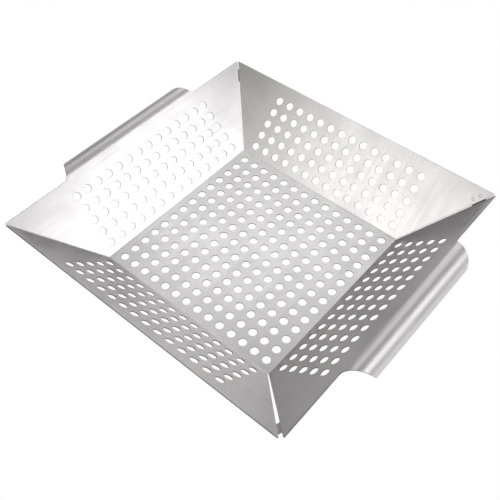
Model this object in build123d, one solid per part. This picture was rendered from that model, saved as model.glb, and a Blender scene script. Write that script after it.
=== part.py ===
from build123d import *
from math import atan, cos, degrees, hypot, pi, radians, sin, tan
import os

# Square grill basket folded from one sheet of perforated stainless steel.
# A flat square floor carries four perforated walls that lean outwards. The left and right walls
# run on past the rim as handles, which curl outwards and down. Beside each corner seam a tab of
# the handle wall folds round under the neighbouring wall and is spot welded to it.
#
# Frame: origin at the centre of the floor's underside, +Z up, +X towards one handle.
# Lengths are in millimetres, and angles in degrees.

# Sheet and folds
SHEET = 0.8
WALL_SLOPE = 42.8
BEND_RADIUS = 1.0  # inside radius of the folds between floor and walls

# Floor and walls, measured on the face that holds the food
FLOOR_SIDE = 189.0  # fold line to fold line
WALL_LENGTH = 78.6  # fold line to rim, up the slope
RIM_TIP_RADIUS = 0.9

# Perforation
HOLE_DIAMETER = 7.7
HOLE_PITCH = 13.0
HOLE_COLUMNS = 14
WALL_ROWS = 5
FIRST_ROW = 9.9  # fold line to the first row of wall holes, up the slope

# Corner seams: how far a wall's side edge stands back from the line where the two faces meet,
# at the floor and at the rim. Three corners are closed up to a hairline, and the fourth is
# sprung open.
HANDLE_WALL_SEAM = (0.1, 0.1)
PLAIN_WALL_SEAM = (0.75, 0.75)
OPEN_SEAM = (0.6, 2.2)

# Corner tabs, measured along the seam from the floor's corner
TAB_START = 75.0
TAB_WIDTH = 13.0
TAB_ROOT = 5.0  # overlap with the handle wall that the tab is trimmed back from
TAB_REACH = 4.0  # length drawn past the fold before the two legs are mitred
TAB_LAP = 9.5  # how far the tab reaches under the neighbouring wall
TAB_CORNER_RADIUS = 2.0
WELD_DIAMETER = 3.0
WELD_SPACING = 6.5
WELD_SETBACK = 5.2  # corner seam to the weld centres
WELD_DIMPLE = 0.06

# Handles: a straight neck, a curl and a short straight lip
CURL_RADIUS = 11.15  # on the outside of the curl
CURL_ANGLE = 112.0
LIP_LENGTH = 4.2
HANDLE_ROOT_HALF = 81.0  # half the handle's length where the curl starts
HANDLE_TIP_HALF = 66.6  # and at the end of the lip
ROOT_FILLET = 5.0
LIP_CORNER_RADIUS = 3.0
CURL_STEPS = 12

# Worked out from the above
SLOPE = radians(WALL_SLOPE)
HALF_FLOOR = FLOOR_SIDE / 2
BEND_REACH = BEND_RADIUS * tan(SLOPE / 2)
SEAM_STRETCH = hypot(1, cos(SLOPE))  # length of seam for each unit of slope length
CURL_LENGTH = CURL_RADIUS * radians(CURL_ANGLE)
END_TAPER = (HANDLE_ROOT_HALF - HANDLE_TIP_HALF) / (CURL_LENGTH + LIP_LENGTH)
ROOT_TURN = pi / 2 - atan(END_TAPER)
NECK_LENGTH = ROOT_FILLET * (1 - cos(ROOT_TURN))
CUTTER_REACH = 5.0

# Local frame of the +X wall: x up the slope from the fold line, y along it, z into the basket
RIGHT_FACE = Plane(
    origin=(HALF_FLOOR, 0, SHEET),
    x_dir=(cos(SLOPE), 0, sin(SLOPE)),
    z_dir=(-sin(SLOPE), 0, cos(SLOPE)),
)
# Local frame of the -Y wall: x up the slope from the fold line, y towards +X, z into the basket
FRONT_FACE = Plane(
    origin=(0, -HALF_FLOOR, SHEET),
    x_dir=(0, -cos(SLOPE), sin(SLOPE)),
    z_dir=(0, sin(SLOPE), cos(SLOPE)),
)
# Mitre between the two legs of a tab, parallel to the upright plane through the seam
TAB_MITRE = Plane(origin=(0, -SHEET / sin(SLOPE), 0), z_dir=(1, 1, 0))


def hole_cutters(face, rows, columns):
    """Round cutters in a square grid through the sheet that lies just under a face."""
    grid = GridLocations(HOLE_PITCH, HOLE_PITCH, rows, columns)
    return [face * place * Cylinder(HOLE_DIAMETER / 2, 4 * SHEET) for place in grid]


def floor_panel():
    """Flat square floor between the four bends."""
    side = FLOOR_SIDE - 2 * BEND_REACH
    panel = Pos(0, 0, SHEET / 2) * Box(side, side, SHEET)
    return panel - hole_cutters(Plane.XY, HOLE_COLUMNS, HOLE_COLUMNS)


def half_width(seam, slope_distance):
    """Half width of a wall at a distance up the slope, inside its corner seam."""
    at_floor, at_rim = seam
    setback = at_floor + (at_rim - at_floor) * slope_distance / WALL_LENGTH
    return HALF_FLOOR + slope_distance * cos(SLOPE) - setback


def folded_section():
    """Cross-section of the +X wall and its bend, in the XZ plane."""
    bend_start = (HALF_FLOOR - BEND_REACH, SHEET)
    bend_end = (HALF_FLOOR + BEND_REACH * cos(SLOPE), SHEET + BEND_REACH * sin(SLOPE))
    rim = (HALF_FLOOR + WALL_LENGTH * cos(SLOPE), SHEET + WALL_LENGTH * sin(SLOPE))
    start_below = (bend_start[0], 0)
    end_below = (bend_end[0] + SHEET * sin(SLOPE), bend_end[1] - SHEET * cos(SLOPE))
    rim_below = (rim[0] + SHEET * sin(SLOPE), rim[1] - SHEET * cos(SLOPE))
    outline = [
        TangentArc(bend_start, bend_end, tangent=(1, 0)),
        Line(bend_end, rim),
        Line(rim, rim_below),
        Line(rim_below, end_below),
        TangentArc(start_below, end_below, tangent=(1, 0)),
        Line(start_below, bend_start),
    ]
    return make_face(outline)


def wall_blank(minus_seam, plus_seam):
    """The +X wall with its bend and no holes; its -Y and +Y edges follow the two seams."""
    folded = extrude(Plane.XZ * folded_section(), amount=FLOOR_SIDE, both=True)
    low = -CUTTER_REACH
    trapezoid = make_face(
        Polyline(
            (low, -half_width(minus_seam, low)),
            (WALL_LENGTH, -half_width(minus_seam, WALL_LENGTH)),
            (WALL_LENGTH, half_width(plus_seam, WALL_LENGTH)),
            (low, half_width(plus_seam, low)),
            close=True,
        )
    )
    rim_tips = trapezoid.vertices().group_by(Axis.X)[-1]
    trapezoid = fillet(rim_tips, RIM_TIP_RADIUS)
    return folded & extrude(RIGHT_FACE * trapezoid, amount=CUTTER_REACH, both=True)


def wall_panel(minus_seam, plus_seam):
    """The +X wall with its perforation."""
    middle_row = FIRST_ROW + HOLE_PITCH * (WALL_ROWS - 1) / 2
    grid_face = RIGHT_FACE * Pos(middle_row, 0, 0)
    return wall_blank(minus_seam, plus_seam) - hole_cutters(grid_face, WALL_ROWS, HOLE_COLUMNS)


def handle_neck():
    """Flat strip from the rim to the start of the curl, flared into the rim by two fillets."""
    curl_start = WALL_LENGTH + NECK_LENGTH
    rim_half = HANDLE_ROOT_HALF + ROOT_FILLET * sin(ROOT_TURN)
    fillet_centre = WALL_LENGTH + ROOT_FILLET
    sweep = degrees(ROOT_TURN)
    outline = [
        Line((WALL_LENGTH, -rim_half), (WALL_LENGTH, rim_half)),
        CenterArc((fillet_centre, rim_half), ROOT_FILLET, 180, sweep),
        Line((curl_start, HANDLE_ROOT_HALF), (curl_start, -HANDLE_ROOT_HALF)),
        CenterArc((fillet_centre, -rim_half), ROOT_FILLET, 180 - sweep, sweep),
    ]
    return extrude(RIGHT_FACE * make_face(outline), amount=-SHEET)


def handle_section(turned, past_curl=0.0):
    """Sheet section of the handle after a turn in degrees, and a straight run past it."""
    heading = SLOPE - radians(turned)
    curl_start = WALL_LENGTH + NECK_LENGTH
    curl_centre = RIGHT_FACE.from_local_coords((curl_start, 0, -CURL_RADIUS))
    middle = CURL_RADIUS - SHEET / 2
    origin = curl_centre + Vector(
        -middle * sin(heading) + past_curl * cos(heading),
        0,
        middle * cos(heading) + past_curl * sin(heading),
    )
    run = CURL_RADIUS * radians(turned) + past_curl
    half_length = HANDLE_ROOT_HALF - END_TAPER * run
    plane = Plane(origin=origin, x_dir=(0, 1, 0), z_dir=(cos(heading), 0, sin(heading)))
    return plane * Rectangle(2 * half_length, SHEET)


def handle():
    """The +X handle: neck, curl and lip in one piece, shorter towards its lip."""
    turns = [CURL_ANGLE * step / CURL_STEPS for step in range(CURL_STEPS + 1)]
    curl = loft([handle_section(turned) for turned in turns])
    lip_sections = [handle_section(CURL_ANGLE), handle_section(CURL_ANGLE, LIP_LENGTH)]
    lip = loft(lip_sections, ruled=True)
    through_sheet = lip.edges().filter_by(lambda edge: edge.length < 2 * SHEET)
    lip = fillet(through_sheet.sort_by(Axis.Z)[:2], LIP_CORNER_RADIUS)
    return handle_neck() + curl + lip


def beside_seam(side, distance, outward):
    """Local point on a wall, a distance along its seam and across it, past the wall's edge."""
    slope_distance = (distance - outward * cos(SLOPE)) / SEAM_STRETCH
    across = HALF_FLOOR + (distance * cos(SLOPE) + outward) / SEAM_STRETCH
    return (slope_distance, side * across)


def tab_strip(side, inner, outer):
    """Flat strip across a seam, square to it, from inner to outer beyond the meeting line."""
    tab_end = TAB_START + TAB_WIDTH
    return Polyline(
        beside_seam(side, TAB_START, inner),
        beside_seam(side, TAB_START, outer),
        beside_seam(side, tab_end, outer),
        beside_seam(side, tab_end, inner),
        close=True,
    )


def tab_welds():
    """The nuggets that join the front right tab to the -Y wall above it."""
    middle = TAB_START + TAB_WIDTH / 2
    height = 2 * (SHEET - WELD_DIMPLE)
    nuggets = []
    for shift in (-WELD_SPACING / 2, WELD_SPACING / 2):
        slope_distance, across = beside_seam(1, middle + shift, -WELD_SETBACK)
        place = FRONT_FACE * Pos(slope_distance, across, -SHEET)
        nuggets.append(place * Cylinder(WELD_DIAMETER / 2, height))
    return nuggets


def corner_tab(seam):
    """The front right tab: one leg in the +X wall's plane, one under the -Y wall."""
    root_leg = extrude(RIGHT_FACE * make_face(tab_strip(-1, -TAB_ROOT, TAB_REACH)), amount=-SHEET)
    root_leg = split(root_leg, bisect_by=TAB_MITRE, keep=Keep.TOP)
    lap_outline = make_face(tab_strip(1, -TAB_LAP, TAB_REACH))
    free_corners = lap_outline.vertices().sort_by(Axis.Y)[:2]
    lap_outline = fillet(free_corners, TAB_CORNER_RADIUS)
    lap_leg = extrude(FRONT_FACE * Pos(0, 0, -SHEET) * lap_outline, amount=-SHEET)
    lap_leg = split(lap_leg, bisect_by=TAB_MITRE, keep=Keep.BOTTOM)
    return root_leg + lap_leg - wall_blank(seam, seam) - tab_welds()


def mirrored(shape, planes):
    """A shape mirrored in each of some planes in turn."""
    for plane in planes:
        shape = mirror(shape, about=plane)
    return shape


# Each corner's place, mirrored from the front right one, and its handle wall's seam
CORNERS = {
    "front_right": ([], OPEN_SEAM),
    "front_left": ([Plane.YZ], HANDLE_WALL_SEAM),
    "back_left": ([Plane.YZ, Plane.XZ], HANDLE_WALL_SEAM),
    "back_right": ([Plane.XZ], HANDLE_WALL_SEAM),
}

# Each wall's turn about Z from the +X side, and its seams at the turned -Y and +Y ends
WALLS = {
    "wall_right": (0, OPEN_SEAM, HANDLE_WALL_SEAM),
    "wall_back": (90, PLAIN_WALL_SEAM, PLAIN_WALL_SEAM),
    "wall_left": (180, HANDLE_WALL_SEAM, HANDLE_WALL_SEAM),
    "wall_front": (-90, PLAIN_WALL_SEAM, OPEN_SEAM),
}


def build_nodes():
    """Every node of the basket by name."""
    nodes = {"floor_panel": floor_panel()}

    welds = []
    for corner, (planes, seam) in CORNERS.items():
        nodes[f"corner_tab_{corner}"] = mirrored(corner_tab(seam), planes)
        welds += [mirrored(nugget, planes) for nugget in tab_welds()]

    for name, (turn, minus_seam, plus_seam) in WALLS.items():
        wall = Rot(0, 0, turn) * wall_panel(minus_seam, plus_seam)
        nodes[name] = wall - welds

    right_handle = handle()
    nodes["handle_right"] = right_handle
    nodes["handle_left"] = mirror(right_handle, about=Plane.YZ)
    nodes["spot_welds"] = Compound(welds)
    return nodes


os.makedirs("parts", exist_ok=True)
for node_name, shape in build_nodes().items():
    export_step(shape, f"parts/{node_name}.step")
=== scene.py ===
from math import acos, atan, atan2, cos, hypot, pi, radians, sin, tan

import bpy
from mathutils import Matrix, Vector
from mathutils.geometry import delaunay_2d_cdt


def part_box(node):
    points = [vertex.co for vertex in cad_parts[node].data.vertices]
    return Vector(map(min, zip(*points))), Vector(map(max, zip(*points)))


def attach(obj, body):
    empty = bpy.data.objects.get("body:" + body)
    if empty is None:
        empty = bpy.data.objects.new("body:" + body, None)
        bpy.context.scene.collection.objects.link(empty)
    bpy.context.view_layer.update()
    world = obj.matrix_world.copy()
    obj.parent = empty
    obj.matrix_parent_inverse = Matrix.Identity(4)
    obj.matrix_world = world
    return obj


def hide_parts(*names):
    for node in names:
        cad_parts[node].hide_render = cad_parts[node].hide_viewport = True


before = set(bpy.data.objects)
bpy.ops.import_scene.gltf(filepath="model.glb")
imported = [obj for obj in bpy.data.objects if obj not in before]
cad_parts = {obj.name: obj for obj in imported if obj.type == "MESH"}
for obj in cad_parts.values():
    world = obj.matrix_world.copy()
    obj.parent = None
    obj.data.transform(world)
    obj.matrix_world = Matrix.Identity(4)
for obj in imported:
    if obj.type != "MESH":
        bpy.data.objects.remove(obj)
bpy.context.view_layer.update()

# A square grill basket: one perforated stainless blank, folded up along four lines, with curled
# handles at its left and right rims and welded tabs across its corner seams. Every panel is
# drawn flat, as on the blank, and then walked round its folds. Lengths are in metres.

# ---------------------------------------------------------------- dimensions

MM = 0.001
SLOPE = radians(42.8)
BEND_RADIUS = 1.0 * MM
HOLE_RADIUS = 3.85 * MM
HOLE_PITCH = 13.0 * MM
HOLE_COLUMNS = 14
WALL_ROWS = 5
FIRST_ROW = 9.9 * MM  # fold line to the first row of holes, up the slope
RIM_TIP_RADIUS = 0.9 * MM
# Setback of a wall's side edge from the meeting line, at the floor and at the rim
HANDLE_WALL_SEAM = (0.1 * MM, 0.1 * MM)
PLAIN_WALL_SEAM = (0.75 * MM, 0.75 * MM)
OPEN_SEAM = (0.6 * MM, 2.2 * MM)

TAB_START = 75.0 * MM  # along the seam from the floor's corner
TAB_WIDTH = 13.0 * MM
TAB_LAP = 9.5 * MM
TAB_CORNER_RADIUS = 2.0 * MM
TAB_BEND_RADIUS = 0.4 * MM
WELD_RADIUS = 1.5 * MM
WELD_SPACING = 6.5 * MM
WELD_SETBACK = 5.2 * MM
WELD_DIMPLE = 0.06 * MM  # depth of the dish in a weld mark
WELD_EDGE = 0.02 * MM
DISH_POWER = 4  # how flat the middle of a weld mark is

CURL_RADIUS = 11.15 * MM  # on the outside of the curl
CURL_TURN = radians(112)
LIP_LENGTH = 4.2 * MM
HANDLE_ROOT_HALF = 81.0 * MM
HANDLE_TIP_HALF = 66.6 * MM
ROOT_FILLET = 5.0 * MM
LIP_CORNER_RADIUS = 3.0 * MM

floor_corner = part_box("floor_panel")[1]
SHEET = floor_corner.z
BEND_REACH = BEND_RADIUS * tan(SLOPE / 2)
HALF_FLOOR = floor_corner.x + BEND_REACH
RIM_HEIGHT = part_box("wall_right")[1].z
WALL_LENGTH = (RIM_HEIGHT - SHEET) / sin(SLOPE)
BEND_LENGTH = BEND_RADIUS * SLOPE
RIM_RUN = BEND_LENGTH + WALL_LENGTH - BEND_REACH  # bend start to rim, along the food side
SEAM_STRETCH = hypot(1, cos(SLOPE))
CURL_LENGTH = CURL_RADIUS * CURL_TURN
END_TAPER = (HANDLE_ROOT_HALF - HANDLE_TIP_HALF) / (CURL_LENGTH + LIP_LENGTH)
ROOT_TURN = pi / 2 - atan(END_TAPER)
NECK_LENGTH = ROOT_FILLET * (1 - cos(ROOT_TURN))
NECK_HALF = HANDLE_ROOT_HALF + ROOT_FILLET * sin(ROOT_TURN)
TAB_TURN = acos(cos(SLOPE) ** 2)  # between the two walls that a tab joins
TAB_MITRE = SHEET / (sin(SLOPE) * SEAM_STRETCH)  # meeting line to the tab's own fold line
TAB_BEND_REACH = TAB_BEND_RADIUS * tan(TAB_TURN / 2)
# From the end of the tab's bend, how far under the neighbouring wall the tab already is
LAP_START = TAB_MITRE * cos(TAB_TURN) + TAB_BEND_REACH

# Folds as (length along the food side, turn towards the food side)
WALL_MOVES = [
    (BEND_LENGTH, SLOPE),
    (RIM_RUN - BEND_LENGTH + NECK_LENGTH, 0.0),
    (CURL_LENGTH, -CURL_TURN),
    (LIP_LENGTH, 0.0),
]
TAB_MOVES = [
    (TAB_MITRE - TAB_BEND_REACH, 0.0),
    (TAB_BEND_RADIUS * TAB_TURN, TAB_TURN),
    (TAB_LAP, 0.0),
]

# Rounding of sheared edges, as (inset, depth) steps from the food side to the underside
ROLLOVER = 0.25 * MM
ROLL_MIDDLE = 0.3 * ROLLOVER
BURR = 0.06 * MM
WELD_ROLL = 0.15  # of a sheared edge's rounding, round a weld
EDGE_STEPS = [
    (ROLLOVER, 0.0),
    (ROLL_MIDDLE, ROLL_MIDDLE),
    (0.0, ROLLOVER),
    (0.0, SHEET - BURR),
    (BURR, SHEET),
]

# Fineness of the meshes
MERGE_DISTANCE = 1e-9
HOLE_SEGMENTS = 36
BEND_STEPS = 6
TIP_STEPS = 6
NECK_STEPS = 8
CURL_STEPS = 40
WELD_RINGS = 5
EDGE_HOLD = 0.4 * MM  # keeps the shading of a bend off the flats beside it
LEAST_STEP = EDGE_HOLD / 4  # between a tab's root and its first crease

# The sheet was rolled along the handles. Widths of the marks, and lengths over widths.
FINE_LINE = 0.5 * MM
FINE_RATIO = 16
DRAW_MARK = 2.2 * MM
DRAW_RATIO = 40
SPECK = 0.9 * MM
CLOUD = 30 * MM
RELIEF = 0.02 * MM
RELIEF_STRENGTH = 0.5
FINE_DETAIL, DRAW_DETAIL, SPECK_DETAIL, CLOUD_DETAIL = 3.0, 4.0, 2.0, 5.0
CLOUD_DISTORTION = 0.6
NOISE_RANGE = (0.25, 0.75)  # what a noise value mostly stays within
DRAW_ROUGHNESS = 0.05  # either side of the steel's own
CLOUD_ROUGHNESS = (-0.04, 0.06)

# Studio
STAGE_SIZE = 12.0
STAGE_GAP = 0.3 * MM
PAPER_GLOW = 1.0
AMBIENT = 0.25
SOFTBOX_DISTANCE = 1.2
SOFTBOX_WIDTH = 0.8
SOFTBOX_HEIGHT = 0.5
WATTS_PER_AREA = 4.0  # for a radiance of one
LOW_BOX_ELEVATION = radians(10)
FILL_ELEVATION = radians(30)
# Radiance of each softbox, named for the panel that it is placed for
LEFT_WALL_GLOW = 1.9
BACK_WALL_GLOW = 1.45
FLOOR_GLOW = 0.95
FRONT_WALL_GLOW = 1.5
FILL_GLOW = 2.2
FRONT_TINT = (1.0, 0.975, 0.95)

# Camera, above the front right corner: place, angles in degrees, lens in mm
CAMERA_PLACE = (0.273, -0.327, 0.515)
CAMERA_AZIMUTH = 40.4
CAMERA_ELEVATION = 50.5
LENS_LENGTH = 51.7
SENSOR_WIDTH = 36.0
NEAREST_SEEN = 0.01


# ---------------------------------------------------------------- folded sheet

def walk(moves, run, depth):
    """Point of a folded section: a run along its food side, and a depth below that side."""
    x, z, heading = 0.0, 0.0, 0.0
    for length, turn in moves:
        step = min(run, length)
        if turn:
            radius = length / turn
            ahead = heading + step / radius
            x += radius * (sin(ahead) - sin(heading))
            z += radius * (cos(heading) - cos(ahead))
            heading = ahead
        else:
            x += step * cos(heading)
            z += step * sin(heading)
        run -= step
        if run <= 0:
            break
    return x + depth * sin(heading), z - depth * cos(heading)


def wall_place(turn):
    """Puts flat points (run, along) on the wall that stands a turn about Z from the +X side."""
    rotation = Matrix.Rotation(turn, 3, "Z")

    def place(run, along, depth):
        x, z = walk(WALL_MOVES, run, depth)
        return rotation @ Vector((HALF_FLOOR - BEND_REACH + x, along, SHEET + z))

    return place


def wall_blank(turn):
    """Where a wall's flat points lie on the unfolded blank."""

    def on_blank(run, along):
        x = HALF_FLOOR - BEND_REACH + run
        return Vector((x * cos(turn) - along * sin(turn), x * sin(turn) + along * cos(turn)))

    return on_blank


def inset(loop, cut, amount):
    """A closed loop moved inwards, to its left, except at the ends of its uncut edges."""
    moved = []
    for i, point in enumerate(loop):
        if not (cut[i - 1] and cut[i]):
            moved.append(point)
            continue
        before = (point - loop[i - 1]).normalized()
        after = (loop[(i + 1) % len(loop)] - point).normalized()
        middle = before + after
        left = Vector((-middle.y, middle.x)).normalized()
        lean = left.dot(Vector((-before.y, before.x)))
        moved.append(point + left * amount / lean)
    return moved


def arc(centre, radius, start, turn, steps):
    """Points on an arc from a start angle through a turn, both ends included."""
    angles = [start + turn * i / steps for i in range(steps + 1)]
    return [Vector((centre[0] + radius * cos(a), centre[1] + radius * sin(a))) for a in angles]


def circle(centre, radius, segments):
    """A clockwise loop, so that the sheet lies to its left."""
    return arc(centre, radius, 0.0, -2 * pi, segments)[:-1]


def mesh_piece(name, vertices, faces, materials, blank):
    """A smooth object whose UV layer says where each vertex lies on the blank."""
    mesh = bpy.data.meshes.new(name)
    mesh.from_pydata(vertices, [], faces)
    mesh.polygons.foreach_set("material_index", materials)
    layer = mesh.uv_layers.new(name="blank")
    for corner in mesh.loops:
        layer.data[corner.index].uv = blank[corner.vertex_index]
    mesh.shade_smooth()
    piece = bpy.data.objects.new(name, mesh)
    bpy.context.scene.collection.objects.link(piece)
    return piece


def sheet_piece(name, outline, cut, holes, place, on_blank, creases=(), mirrored=False, welds=()):
    """A closed solid of folded sheet.

    outline is a counter-clockwise loop of flat points and cut says which of its edges are
    sheared, the others being joints with the next panel. creases are pairs of outline points
    that a bend line joins. mirrored says that place turns the sheet into its mirror image.
    welds are round loops like holes, filled by weld metal and so without rolled edges."""
    holes = list(holes) + list(welds)
    loops = [outline] + holes
    cuts = [cut] + [[True] * len(hole) for hole in holes]
    rolls = [1.0] * (len(loops) - len(welds)) + [WELD_ROLL] * len(welds)
    rings = [
        [inset(loop, c, roll * step[0]) for step in EDGE_STEPS]
        for loop, c, roll in zip(loops, cuts, rolls)
    ]
    flat = [point for ring in rings for point in ring[0]]
    edges = list(creases)
    for loop in loops:
        first = len(edges) - len(creases)
        edges += [(first + i, first + (i + 1) % len(loop)) for i in range(len(loop))]
    triangulated = delaunay_2d_cdt(flat, edges, [], 1, MERGE_DISTANCE)
    triangles, origins = triangulated[2], triangulated[3]

    vertices, blank, starts = [], [], []
    for ring in rings:
        starts.append(len(vertices))
        for loop, step in zip(ring, EDGE_STEPS):
            vertices += [place(p.x, p.y, step[1]) for p in loop]
            blank += [on_blank(p.x, p.y) for p in loop]
    top_of, bottom_of = [], []
    for loop, start in zip(loops, starts):
        top_of += [start + i for i in range(len(loop))]
        bottom_of += [start + (len(EDGE_STEPS) - 1) * len(loop) + i for i in range(len(loop))]

    hole_cells = cells_of(holes)
    faces, materials = [], []
    for triangle in triangles:
        corners = [origins[v][0] for v in triangle]
        if in_hole(sum((flat[c] for c in corners), Vector((0, 0))) / 3, hole_cells):
            continue
        faces += [[top_of[c] for c in corners], [bottom_of[c] for c in reversed(corners)]]
        materials += [0, 0]
    for loop, loop_cut, start in zip(loops, cuts, starts):
        for step in range(len(EDGE_STEPS) - 1):
            upper = start + step * len(loop)
            lower = upper + len(loop)
            for i in range(len(loop)):
                j = (i + 1) % len(loop)
                faces.append([upper + i, lower + i, lower + j, upper + j])
                materials.append(1 if loop_cut[i] else 0)

    piece = mesh_piece(name, vertices, faces, materials, blank)
    if mirrored:
        piece.data.flip_normals()
    sharpen(piece.data)
    return piece


def cell_of(point):
    return (round(point.x / HOLE_PITCH), round(point.y / HOLE_PITCH))


def cells_of(holes):
    """Holes as (centre, radius), by the grid cell that they are in."""
    cells = {}
    for hole in holes:
        centre = sum(hole, Vector((0, 0))) / len(hole)
        cells.setdefault(cell_of(centre), []).append((centre, (hole[0] - centre).length))
    return cells


def in_hole(point, cells):
    column, row = cell_of(point)
    near = [(column + i, row + j) for i in (-1, 0, 1) for j in (-1, 0, 1)]
    holes = [hole for cell in near for hole in cells.get(cell, ())]
    return any((point - centre).length < radius for centre, radius in holes)


def sharpen(mesh):
    """Keeps the sheet's faces flat up to their sheared edges."""
    kinds = {}
    for polygon in mesh.polygons:
        kind = (polygon.material_index, len(polygon.vertices) == 3)
        for key in polygon.edge_keys:
            kinds.setdefault(key, set()).add(kind)
    for edge in mesh.edges:
        edge.use_edge_sharp = len(kinds[edge.key]) > 1


# ---------------------------------------------------------------- pieces

def half_width(seam, slope_distance):
    """Half width of a wall at a distance up the slope, inside its corner seam."""
    at_floor, at_rim = seam
    setback = at_floor + (at_rim - at_floor) * slope_distance / WALL_LENGTH
    return HALF_FLOOR + slope_distance * cos(SLOPE) - setback


def grid_loops(first_run, rows):
    """Hole loops in a square grid, centred on the panel's middle line."""
    loops = []
    for row in range(rows):
        for column in range(HOLE_COLUMNS):
            along = (column - (HOLE_COLUMNS - 1) / 2) * HOLE_PITCH
            loops.append(circle((first_run + row * HOLE_PITCH, along), HOLE_RADIUS, HOLE_SEGMENTS))
    return loops


def floor_sheet():
    half = HALF_FLOOR - BEND_REACH
    outline = [Vector(p) for p in ((-half, -half), (half, -half), (half, half), (-half, half))]
    first = -(HOLE_COLUMNS - 1) / 2 * HOLE_PITCH
    holes = grid_loops(first, HOLE_COLUMNS)

    def place(x, y, depth):
        return Vector((x, y, SHEET - depth))

    def on_blank(x, y):
        return Vector((x, y))

    return sheet_piece("floor_sheet", outline, [False] * 4, holes, place, on_blank)


def slope_of(run):
    """Distance up the slope from the fold line for a run along the food side."""
    if run >= BEND_LENGTH:
        return run - BEND_LENGTH + BEND_REACH
    return BEND_REACH * (2 * run / BEND_LENGTH - 1)


def rim_tip(seam, side):
    """Rounded corner from a wall's side edge to its rim, on the side given as -1 or 1."""
    lean = atan2(half_width(seam, WALL_LENGTH) - half_width(seam, 0), WALL_LENGTH)
    turn = pi / 2 + lean
    reach = RIM_TIP_RADIUS * tan(turn / 2)
    centre = (RIM_RUN - RIM_TIP_RADIUS, half_width(seam, WALL_LENGTH) - reach)
    points = arc(centre, RIM_TIP_RADIUS, turn, -turn, TIP_STEPS)
    return [Vector((p.x, side * p.y)) for p in points]


def neck_side(side):
    """The fillet that leads from the rim into a handle, up to where the curl starts."""
    centre = (RIM_RUN + ROOT_FILLET, NECK_HALF)
    points = arc(centre, ROOT_FILLET, pi, ROOT_TURN, NECK_STEPS)
    return [Vector((p.x, side * p.y)) for p in points]


def wall_sheet(name, turn, minus_seam, plus_seam, has_handle):
    """One wall with its bend, drawn flat with x up the slope and y along the fold."""
    runs = [BEND_LENGTH * i / BEND_STEPS for i in range(BEND_STEPS + 1)]
    runs.append(BEND_LENGTH + EDGE_HOLD)
    minus = [Vector((run, -half_width(minus_seam, slope_of(run)))) for run in runs]
    plus = [Vector((run, half_width(plus_seam, slope_of(run)))) for run in runs]
    lower_half = minus + rim_tip(minus_seam, -1)
    upper_half = plus + rim_tip(plus_seam, 1)
    if has_handle:
        lower_half += neck_side(-1)
        upper_half += neck_side(1)
    outline = lower_half + upper_half[::-1]
    cut = [True] * len(outline)
    cut[-1] = False
    if has_handle:
        cut[len(lower_half) - 1] = False
    creases = [(i, len(outline) - 1 - i) for i in range(1, len(runs))]
    holes = grid_loops(BEND_LENGTH + FIRST_ROW - BEND_REACH, WALL_ROWS)
    welds = [] if has_handle else weld_loops()
    place, on_blank = wall_place(turn), wall_blank(turn)
    return sheet_piece(name, outline, cut, holes, place, on_blank, creases, welds=welds)


def beside_seam(side, distance, outward):
    """Flat point of a wall, a distance along its seam and across it, past the meeting line."""
    slope_distance = (distance - outward * cos(SLOPE)) / SEAM_STRETCH
    across = HALF_FLOOR + (distance * cos(SLOPE) + outward) / SEAM_STRETCH
    return Vector((slope_distance + BEND_LENGTH - BEND_REACH, side * across))


def weld_centres():
    """The two weld places at a wall's +Y end."""
    middle = TAB_START + TAB_WIDTH / 2
    shifts = (-WELD_SPACING / 2, WELD_SPACING / 2)
    return [beside_seam(1, middle + shift, -WELD_SETBACK) for shift in shifts]


def weld_loops():
    places = [Vector((p.x, side * p.y)) for p in weld_centres() for side in (-1, 1)]
    return [circle(place, WELD_RADIUS, HOLE_SEGMENTS) for place in places]


def handle_sheet(name, turn):
    """A handle from the start of its curl to the end of its lip."""
    curl_start = RIM_RUN + NECK_LENGTH
    side = []
    for i in range(CURL_STEPS + 1):
        past_neck = CURL_LENGTH * i / CURL_STEPS
        side.append(Vector((curl_start + past_neck, HANDLE_ROOT_HALF - END_TAPER * past_neck)))
    side.append(side[-1] + Vector((1, -END_TAPER)) * EDGE_HOLD)
    lean = atan(END_TAPER)
    corner_turn = pi / 2 - lean
    reach = LIP_CORNER_RADIUS * tan(corner_turn / 2)
    lip_end = curl_start + CURL_LENGTH + LIP_LENGTH
    centre = (lip_end - LIP_CORNER_RADIUS, HANDLE_TIP_HALF - reach)
    side += arc(centre, LIP_CORNER_RADIUS, corner_turn, -corner_turn, TIP_STEPS)
    outline = [Vector((p.x, -p.y)) for p in side] + side[::-1]
    cut = [True] * len(outline)
    cut[-1] = False
    creases = [(i, len(outline) - 1 - i) for i in range(1, len(side) - 1)]
    return sheet_piece(name, outline, cut, [], wall_place(turn), wall_blank(turn), creases)


def tab_place():
    """Puts flat points (past the seam, along it) on the front right tab."""
    along_seam = Vector((cos(SLOPE), -cos(SLOPE), sin(SLOPE))) / SEAM_STRETCH
    across = Vector((-cos(SLOPE) ** 2, -1, -cos(SLOPE) * sin(SLOPE))) / SEAM_STRETCH
    inward = Vector((-sin(SLOPE), 0, cos(SLOPE)))
    corner = Vector((HALF_FLOOR, -HALF_FLOOR, SHEET))

    def place(past, distance, depth):
        x, z = walk(TAB_MOVES, past, depth)
        return corner + along_seam * distance + across * x + inward * z

    return place


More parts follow.
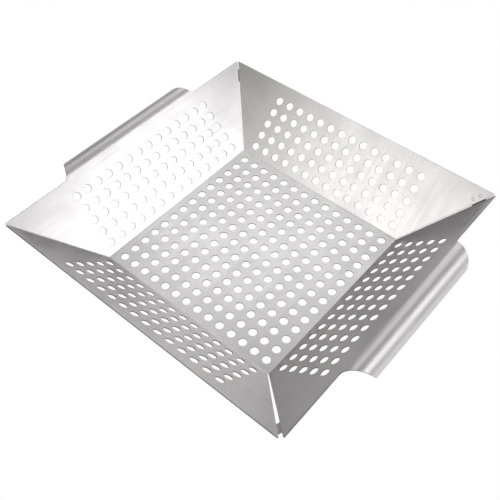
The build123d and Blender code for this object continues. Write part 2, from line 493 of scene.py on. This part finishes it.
def tab_sheet(corner_name, mirror_x, mirror_y, seam):
    """A corner tab: a strip across the seam, folded under the neighbouring wall."""
    bend = [TAB_MOVES[0][0] + TAB_MOVES[1][0] * i / BEND_STEPS for i in range(BEND_STEPS + 1)]
    runs = [bend[0] - EDGE_HOLD] + bend + [bend[-1] + EDGE_HOLD]
    tab_end = TAB_START + TAB_WIDTH
    low_root, high_root = (tab_root(seam, d) for d in (TAB_START, tab_end))
    runs = [run for run in runs if run > max(low_root, high_root) + LEAST_STEP]
    lap = runs[-1] - EDGE_HOLD + TAB_LAP - LAP_START
    low = [Vector((run, TAB_START)) for run in [low_root] + runs]
    high = [Vector((run, tab_end)) for run in [high_root] + runs]
    radius = TAB_CORNER_RADIUS
    low += arc((lap - radius, TAB_START + radius), radius, -pi / 2, pi / 2, TIP_STEPS)
    high += arc((lap - radius, tab_end - radius), radius, pi / 2, -pi / 2, TIP_STEPS)
    outline = low + high[::-1]
    cut = [True] * len(outline)
    cut[-1] = False
    creases = [(i, len(outline) - 1 - i) for i in range(1, len(low) - 1)]
    weld_run = bend[-1] + WELD_SETBACK - LAP_START
    middle = TAB_START + TAB_WIDTH / 2
    welds = []
    for shift in (-WELD_SPACING / 2, WELD_SPACING / 2):
        welds.append(circle((weld_run, middle + shift), WELD_RADIUS, HOLE_SEGMENTS))
    turn = pi if mirror_x < 0 else 0.0
    blank, front_right = wall_blank(turn), tab_place()

    def place(past, distance, depth):
        point = front_right(past, distance, depth)
        return Vector((mirror_x * point.x, mirror_y * point.y, point.z))

    def on_blank(past, distance):
        return blank(*beside_seam(-mirror_x * mirror_y, distance, past))

    name = "tab_sheet_" + corner_name
    mirrored = mirror_x * mirror_y < 0
    return sheet_piece(name, outline, cut, [], place, on_blank, creases, mirrored, welds)


def tab_root(seam, distance):
    """Where the handle wall's side edge crosses a line square to the seam."""
    slope_distance = distance / SEAM_STRETCH
    setback = HALF_FLOOR + slope_distance * cos(SLOPE) - half_width(seam, slope_distance)
    return -setback / SEAM_STRETCH


def weld_nuggets():
    """Eight pressed weld marks, each a disc dished on both faces of the lapped sheets."""
    vertices, faces, blank = [], [], []
    rings = [i / WELD_RINGS for i in range(1, WELD_RINGS + 1)]
    profile = [(WELD_RADIUS * r, WELD_DIMPLE * (1 - r ** DISH_POWER) + WELD_EDGE) for r in rings]
    for turn in (pi / 2, -pi / 2):
        place, on_blank = wall_place(turn), wall_blank(turn)
        for centre in [Vector((p.x, s * p.y)) for p in weld_centres() for s in (-1, 1)]:
            levels = [[(0.0, WELD_DIMPLE + WELD_EDGE)] + profile]
            levels.append([(r, 2 * SHEET - depth) for r, depth in profile[::-1]])
            levels[1].append((0.0, 2 * SHEET - WELD_DIMPLE - WELD_EDGE))
            first = len(vertices)
            for radius, depth in levels[0] + levels[1]:
                for i in range(HOLE_SEGMENTS):
                    angle = 2 * pi * i / HOLE_SEGMENTS
                    x = centre.x + radius * cos(angle)
                    y = centre.y + radius * sin(angle)
                    vertices.append(place(x, y, depth))
                    blank.append(on_blank(x, y))
            for level in range(len(levels[0]) + len(levels[1]) - 1):
                for i in range(HOLE_SEGMENTS):
                    j = (i + 1) % HOLE_SEGMENTS
                    above = first + level * HOLE_SEGMENTS
                    below = above + HOLE_SEGMENTS
                    faces.append([above + i, below + i, below + j, above + j])
    return mesh_piece("weld_nuggets", vertices, faces, [0] * len(faces), blank)


# ---------------------------------------------------------------- materials

def add_node(tree, kind, settings=None, inputs=None):
    """A shader node with its settings, and inputs that are values or other nodes' outputs."""
    node = tree.nodes.new(kind)
    for key, value in (settings or {}).items():
        setattr(node, key, value)
    for key, value in (inputs or {}).items():
        if isinstance(value, bpy.types.NodeSocket):
            tree.links.new(value, node.inputs[key])
        else:
            node.inputs[key].default_value = value
    return node


def streaks(tree, across, along, detail, distortion=0.0):
    """Noise drawn out along the rolling direction; across and along are its cell in metres."""
    place = add_node(tree, "ShaderNodeUVMap", {"uv_map": "blank"}).outputs["UV"]
    scale = {"Vector": place, "Scale": (1 / across, 1 / along, 1.0)}
    scaled = add_node(tree, "ShaderNodeMapping", {}, scale).outputs["Vector"]
    look = {"Vector": scaled, "Scale": 1.0, "Detail": detail, "Distortion": distortion}
    return add_node(tree, "ShaderNodeTexNoise", {}, look).outputs["Fac"]


def mapped(tree, value, low, high):
    """A noise value spread over a range."""
    start, end = NOISE_RANGE
    inputs = {"Value": value, "From Min": start, "From Max": end, "To Min": low, "To Max": high}
    return add_node(tree, "ShaderNodeMapRange", {}, inputs).outputs["Result"]


def combined(tree, operation, first, second):
    inputs = {0: first, 1: second}
    return add_node(tree, "ShaderNodeMath", {"operation": operation}, inputs).outputs[0]


def steel(name, tint, roughness, grain, streak, mottle):
    """Cold rolled stainless steel.

    tint is its base colour, darkened from the sheet's as painted shade in the tab and sheared edge
    copies and lightened as painted light in the handle copy; grain, streak and mottle say how
    strongly the fine rolling lines, the broader drawing marks and the cloudy handling marks show."""
    material = bpy.data.materials.new(name)
    material.use_nodes = True
    tree = material.node_tree
    shader = tree.nodes["Principled BSDF"]
    shader.inputs["Metallic"].default_value = 1.0
    fine = streaks(tree, FINE_LINE, FINE_LINE * FINE_RATIO, FINE_DETAIL)
    broad = streaks(tree, DRAW_MARK, DRAW_MARK * DRAW_RATIO, DRAW_DETAIL)
    speck = streaks(tree, SPECK, SPECK, SPECK_DETAIL)
    cloud = streaks(tree, CLOUD, CLOUD, CLOUD_DETAIL, CLOUD_DISTORTION)

    shade = combined(
        tree,
        "MULTIPLY",
        mapped(tree, fine, 1 - grain, 1 + grain),
        mapped(tree, broad, 1 - streak, 1 + streak),
    )
    marks = combined(
        tree,
        "MULTIPLY",
        mapped(tree, speck, 1 - grain, 1 + grain),
        mapped(tree, cloud, 1 - mottle, 1 + mottle),
    )
    colour = {"Vector": tint, "Scale": combined(tree, "MULTIPLY", shade, marks)}
    scaled = add_node(tree, "ShaderNodeVectorMath", {"operation": "SCALE"}, colour)
    tree.links.new(scaled.outputs["Vector"], shader.inputs["Base Color"])

    rough = combined(
        tree,
        "ADD",
        mapped(tree, broad, roughness - DRAW_ROUGHNESS, roughness + DRAW_ROUGHNESS),
        mapped(tree, cloud, *CLOUD_ROUGHNESS),
    )
    tree.links.new(rough, shader.inputs["Roughness"])

    relief = combined(tree, "ADD", combined(tree, "ADD", fine, broad), speck)
    bump = {"Height": relief, "Strength": RELIEF_STRENGTH, "Distance": RELIEF}
    normal = add_node(tree, "ShaderNodeBump", {}, bump).outputs["Normal"]
    tree.links.new(normal, shader.inputs["Normal"])
    return material


def sheet_steel():
    tint = (0.665, 0.652, 0.654)
    return steel("steel_sheet", tint, roughness=0.32, grain=0.07, streak=0.04, mottle=0.04)


def handle_steel_painted_light():
    # The handles are the same blank as the walls: their rougher finish is their own, and their
    # slightly lighter base colour is painted light on the curls.
    tint = (0.68, 0.667, 0.669)
    return steel("steel_handle_painted_light", tint, roughness=0.46, grain=0.05, streak=0.05, mottle=0.05)


def tab_steel_painted_shade():
    # The tabs are bent from the same blank as the walls; their darker base colour is painted shade
    # where they lap under the neighbouring wall.
    tint = (0.58, 0.57, 0.57)
    return steel("steel_tab_painted_shade", tint, roughness=0.36, grain=0.06, streak=0.05, mottle=0.05)


def sheared_edge_steel_painted_shade():
    # Sheared edge faces: their rougher finish is their own, and their base colour is darkened far
    # below the sheet's as painted shade in the seams and along the edges.
    tint = (0.24, 0.235, 0.235)
    return steel("steel_sheared_edge_painted_shade", tint, roughness=0.42, grain=0.10, streak=0.05, mottle=0.06)


def weld_steel():
    tint = (0.655, 0.64, 0.635)
    return steel("steel_weld", tint, roughness=0.34, grain=0.06, streak=0.04, mottle=0.05)


# ---------------------------------------------------------------- studio

def paper_floor():
    """A white sweep under the basket, evenly lit from below as on a light table."""
    half = STAGE_SIZE / 2
    corners = [(-half, -half), (half, -half), (half, half), (-half, half)]
    mesh = bpy.data.meshes.new("paper_floor")
    mesh.from_pydata([(x, y, -STAGE_GAP) for x, y in corners], [], [(0, 1, 2, 3)])
    floor = bpy.data.objects.new("paper_floor", mesh)
    bpy.context.scene.collection.objects.link(floor)
    material = bpy.data.materials.new("light_table")
    material.use_nodes = True
    shader = material.node_tree.nodes["Principled BSDF"]
    shader.inputs["Base Color"].default_value = (0, 0, 0, 1)
    shader.inputs["Roughness"].default_value = 1.0
    shader.inputs["Specular IOR Level"].default_value = 0.0
    shader.inputs["Emission Color"].default_value = (1, 1, 1, 1)
    shader.inputs["Emission Strength"].default_value = PAPER_GLOW
    mesh.materials.append(material)
    floor.visible_diffuse = False


def mirrored_view(turn, slope, along=0.0):
    """A place on a panel's fold, and the direction that the panel mirrors from there to the
    camera. The panel stands a turn about Z from the +X side, and along follows its fold."""
    normal = Vector((-sin(slope) * cos(turn), -sin(slope) * sin(turn), cos(slope)))
    reach = HALF_FLOOR if slope else 0.0
    x, y = reach * cos(turn) - along * sin(turn), reach * sin(turn) + along * cos(turn)
    place = Vector((x, y, SHEET))
    view = (Vector(CAMERA_PLACE) - place).normalized()
    return place, 2 * normal.dot(view) * normal - view


def raised(azimuth, elevation):
    """A direction from its azimuth and elevation."""
    flat = cos(elevation)
    return Vector((flat * cos(azimuth), flat * sin(azimuth), sin(elevation)))


def softbox(name, target, direction, radiance, colour=(1, 1, 1)):
    """A rectangular light that faces a place from a direction."""
    light = bpy.data.lights.new(name, "AREA")
    light.shape = "RECTANGLE"
    light.size = SOFTBOX_WIDTH
    light.size_y = SOFTBOX_HEIGHT
    light.energy = WATTS_PER_AREA * SOFTBOX_WIDTH * SOFTBOX_HEIGHT * radiance
    light.color = colour
    lamp = bpy.data.objects.new(name, light)
    lamp.location = target + direction * SOFTBOX_DISTANCE
    lamp.rotation_euler = direction.to_track_quat("Z", "Y").to_euler()
    lamp.visible_camera = False
    bpy.context.scene.collection.objects.link(lamp)


def softboxes():
    """One light for each panel that mirrors something above the table, and two for the rest."""
    softbox("left_wall_box", *mirrored_view(pi, SLOPE, HALF_FLOOR / 2), LEFT_WALL_GLOW)
    bright_end = mirrored_view(pi / 2, SLOPE, -HALF_FLOOR)
    softbox("back_wall_box", *bright_end, BACK_WALL_GLOW, FRONT_TINT)
    softbox("floor_box", *mirrored_view(0.0, 0.0), FLOOR_GLOW)
    centre = Vector((0, 0, RIM_HEIGHT))
    low = mirrored_view(-pi / 2, SLOPE)[1]
    behind = raised(atan2(low.y, low.x), LOW_BOX_ELEVATION)
    softbox("front_wall_box", centre, behind, FRONT_WALL_GLOW)
    beside_camera = raised(radians(CAMERA_AZIMUTH) - pi / 2, FILL_ELEVATION)
    softbox("fill_box", centre, beside_camera, FILL_GLOW)


def studio():
    paper_floor()
    softboxes()
    world = bpy.data.worlds.new("studio")
    world.use_nodes = True
    backdrop = world.node_tree.nodes["Background"]
    backdrop.inputs["Color"].default_value = (1, 1, 1, 1)
    backdrop.inputs["Strength"].default_value = AMBIENT
    bpy.context.scene.world = world
    bpy.context.scene.view_settings.view_transform = "Standard"


def camera():
    lens = bpy.data.cameras.new("camera")
    lens.lens = LENS_LENGTH
    lens.sensor_width = SENSOR_WIDTH
    lens.clip_start = NEAREST_SEEN
    viewer = bpy.data.objects.new("camera", lens)
    viewer.location = CAMERA_PLACE
    viewer.rotation_euler = (pi / 2 - radians(CAMERA_ELEVATION), 0, radians(CAMERA_AZIMUTH))
    bpy.context.scene.collection.objects.link(viewer)
    bpy.context.scene.camera = viewer


# ---------------------------------------------------------------- making

def dress(piece, node, materials):
    """Stands a piece in for its CAD node, with its finish."""
    for material in materials:
        piece.data.materials.append(material)
    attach(piece, "root")
    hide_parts(node)


WALLS = [
    ("right", 0.0, OPEN_SEAM, HANDLE_WALL_SEAM),
    ("back", pi / 2, PLAIN_WALL_SEAM, PLAIN_WALL_SEAM),
    ("left", pi, HANDLE_WALL_SEAM, HANDLE_WALL_SEAM),
    ("front", -pi / 2, PLAIN_WALL_SEAM, OPEN_SEAM),
]
CORNERS = [
    ("front_right", 1, 1, OPEN_SEAM),
    ("front_left", -1, 1, HANDLE_WALL_SEAM),
    ("back_left", -1, -1, HANDLE_WALL_SEAM),
    ("back_right", 1, -1, HANDLE_WALL_SEAM),
]


def basket():
    edge = sheared_edge_steel_painted_shade()
    sheet, handle, tab = sheet_steel(), handle_steel_painted_light(), tab_steel_painted_shade()
    dress(floor_sheet(), "floor_panel", [sheet, edge])
    for side, turn, minus_seam, plus_seam in WALLS:
        has_handle = side in ("right", "left")
        wall = wall_sheet("wall_sheet_" + side, turn, minus_seam, plus_seam, has_handle)
        dress(wall, "wall_" + side, [sheet, edge])
        if has_handle:
            grip = handle_sheet("handle_sheet_" + side, turn)
            dress(grip, "handle_" + side, [handle, edge])
    for corner, mirror_x, mirror_y, seam in CORNERS:
        piece = tab_sheet(corner, mirror_x, mirror_y, seam)
        dress(piece, "corner_tab_" + corner, [tab, edge])
    dress(weld_nuggets(), "spot_welds", [weld_steel()])


camera()
studio()
basket()
